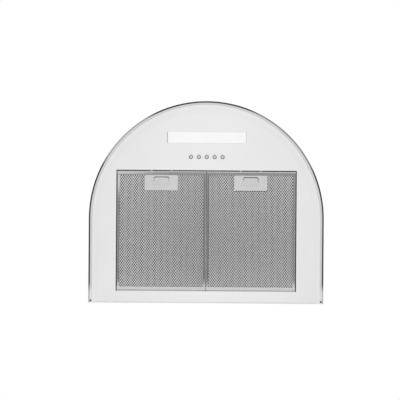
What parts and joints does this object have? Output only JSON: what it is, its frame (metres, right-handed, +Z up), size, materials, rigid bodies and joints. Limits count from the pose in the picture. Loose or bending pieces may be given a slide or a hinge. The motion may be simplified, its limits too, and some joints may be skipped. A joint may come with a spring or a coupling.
{
  "type": "wall mount range hood",
  "caption": "Half-round wall range hood with a pressed dome, bright rim, tilt-down mesh filters, strip lamp, push buttons, blower and duct collar.",
  "frame": {"origin": "middle of the wall face at the level of the rim's lower edge", "axes": "+X right for a person facing the wall, +Y into the wall, +Z up"},
  "size_m": [0.598, 0.5139, 0.38],
  "materials": {
    "white_enamel": "gloss",
    "bright_trim": "polished",
    "zinc_sheet": "satin",
    "filter_aluminium": "satin",
    "latch_steel": "satin",
    "button_metal": "satin",
    "screw_steel": "satin",
    "shaft_steel": "ground",
    "spring_steel": "drawn",
    "motor_casting": "cast",
    "frosted_diffuser": "frosted",
    "black_plastic": "moulded",
    "grey_plastic": "moulded",
    "white_plastic": "moulded",
    "board_laminate": "coated",
    "lead_sheath": "matte",
    "bush_rubber": "matte"
  },
  "bodies": {
    "hood": {"dome_shell": "white_enamel", "base_panel": "white_enamel", "panel_rim": "white_enamel", "opening_strips": "white_enamel", "back_panel": "zinc_sheet", "back_flanges": "zinc_sheet", "trim_band": "bright_trim", "trim_screws": "screw_steel", "shell_screws": "screw_steel", "duct_collar": "black_plastic", "collar_screws": "screw_steel", "damper_pin": "shaft_steel", "volute_wrap": "zinc_sheet", "volute_left_cheek": "zinc_sheet", "volute_right_cheek": "zinc_sheet", "cheek_screws": "screw_steel", "motor_body": "motor_casting", "motor_bearings": "shaft_steel", "motor_bracket": "zinc_sheet", "run_capacitor": "white_plastic", "junction_box": "zinc_sheet", "junction_box_cover": "zinc_sheet", "junction_box_screws": "screw_steel", "terminal_block": "white_plastic", "cable_bush": "bush_rubber", "lamp_tray": "zinc_sheet", "lamp_diffuser": "frosted_diffuser", "led_board": "board_laminate", "lamp_driver": "white_plastic", "switch_housing": "black_plastic", "switch_lead": "lead_sheath", "motor_lead": "lead_sheath", "lamp_lead": "lead_sheath", "driver_lead": "lead_sheath", "lead_clips": "grey_plastic"},
    "left_filter": {"left_filter_frame": "filter_aluminium", "left_filter_mesh": "filter_aluminium", "left_filter_pad": "filter_aluminium", "left_latch_plate": "latch_steel", "left_latch_springs": "spring_steel"},
    "right_filter": {"right_filter_frame": "filter_aluminium", "right_filter_mesh": "filter_aluminium", "right_filter_pad": "filter_aluminium", "right_latch_plate": "latch_steel", "right_latch_springs": "spring_steel"},
    "left_latch": {"left_latch_slider": "latch_steel"},
    "right_latch": {"right_latch_slider": "latch_steel"},
    "fan_rotor": {"impeller": "grey_plastic", "motor_shaft": "shaft_steel"},
    "front_damper": {"front_damper_flap": "grey_plastic"},
    "rear_damper": {"rear_damper_flap": "grey_plastic"},
    "button_1": {"button_1": "button_metal"},
    "button_2": {"button_2": "button_metal"},
    "button_3": {"button_3": "button_metal"},
    "button_4": {"button_4": "button_metal"},
    "button_5": {"button_5": "button_metal"}
  },
  "joints": [
    {"name": "left_filter_swing", "type": "hinge", "parent": "hood", "child": "left_filter", "pos_m": [-0.11375, -0.0317, 0.0079], "axis": [1, 0, 0], "range_deg": [0, 60]},
    {"name": "left_latch_slide", "type": "slide", "parent": "left_filter", "child": "left_latch", "axis": [0, 1, 0], "range_m": [-0.003, 0.0025], "stiffness_N_per_m": 600, "deforming": ["left_latch_springs"]},
    {"name": "right_filter_swing", "type": "hinge", "parent": "hood", "child": "right_filter", "pos_m": [0.11375, -0.0317, 0.0079], "axis": [1, 0, 0], "range_deg": [0, 60]},
    {"name": "right_latch_slide", "type": "slide", "parent": "right_filter", "child": "right_latch", "axis": [0, 1, 0], "range_m": [-0.003, 0.0025], "stiffness_N_per_m": 600, "deforming": ["right_latch_springs"]},
    {"name": "fan_spin", "type": "hinge", "parent": "hood", "child": "fan_rotor", "pos_m": [0, -0.214, 0.1908], "axis": [1, 0, 0], "continuous": true},
    {"name": "front_damper_swing", "type": "hinge", "parent": "hood", "child": "front_damper", "pos_m": [0, -0.148, 0.344], "axis": [-1, 0, 0], "range_deg": [0, 80]},
    {"name": "rear_damper_swing", "type": "hinge", "parent": "hood", "child": "rear_damper", "pos_m": [0, -0.148, 0.344], "axis": [1, 0, 0], "range_deg": [0, 80]},
    {"name": "button_1_press", "type": "slide", "parent": "hood", "child": "button_1", "axis": [0, 0, 1], "range_m": [0, 0.003], "stiffness_N_per_m": 500},
    {"name": "button_2_press", "type": "slide", "parent": "hood", "child": "button_2", "axis": [0, 0, 1], "range_m": [0, 0.003], "stiffness_N_per_m": 500},
    {"name": "button_3_press", "type": "slide", "parent": "hood", "child": "button_3", "axis": [0, 0, 1], "range_m": [0, 0.003], "stiffness_N_per_m": 500},
    {"name": "button_4_press", "type": "slide", "parent": "hood", "child": "button_4", "axis": [0, 0, 1], "range_m": [0, 0.003], "stiffness_N_per_m": 500},
    {"name": "button_5_press", "type": "slide", "parent": "hood", "child": "button_5", "axis": [0, 0, 1], "range_m": [0, 0.003], "stiffness_N_per_m": 500}
  ]
}
